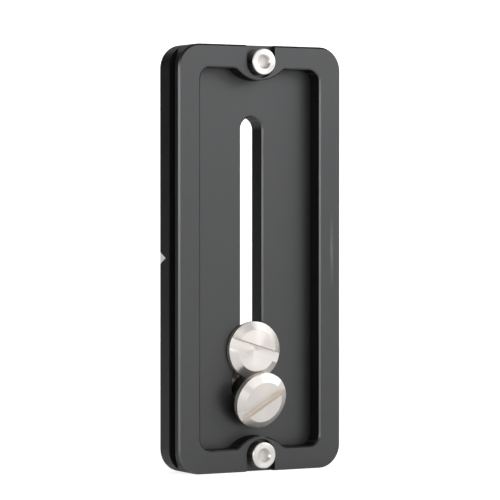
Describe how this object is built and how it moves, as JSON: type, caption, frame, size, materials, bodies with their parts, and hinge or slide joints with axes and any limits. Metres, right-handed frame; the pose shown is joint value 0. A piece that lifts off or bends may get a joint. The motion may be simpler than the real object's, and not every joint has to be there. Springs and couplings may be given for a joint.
{
  "type": "tripod quick release plate",
  "caption": "Long black anodised tripod quick release plate with dovetail sides, a recessed clamp face, a keyhole slot with captive slotted camera screws, and a stop screw at each end.",
  "frame": {"origin": "middle of the lower end face, on which the plate stands, halfway through its thickness", "axes": "+Z along the plate's length and its slot, +Y out of the flat camera face, so the clamp face with the pocket looks towards -Y, and X across the width"},
  "size_m": [0.039, 0.0171, 0.09],
  "materials": {
    "black_anodised": "black satin anodised",
    "stainless": "turned stainless steel"
  },
  "bodies": {
    "plate": {"plate": "black_anodised", "stop_screw_top": "stainless", "stop_screw_bottom": "stainless"},
    "upper_screw": {"camera_screw_upper": "stainless"},
    "lower_screw": {"camera_screw_lower": "stainless"}
  },
  "joints": [
    {"name": "upper_screw_slide", "type": "slide", "parent": "plate", "child": "upper_screw", "axis": [0, 0, 1], "range_m": [-0.0003, 0.0469]},
    {"name": "lower_screw_turn", "type": "hinge", "parent": "plate", "child": "lower_screw", "pos_m": [0, -0.00589, 0.01469], "axis": [-0.0753, 0.9568, 0.2807], "continuous": true}
  ]
}
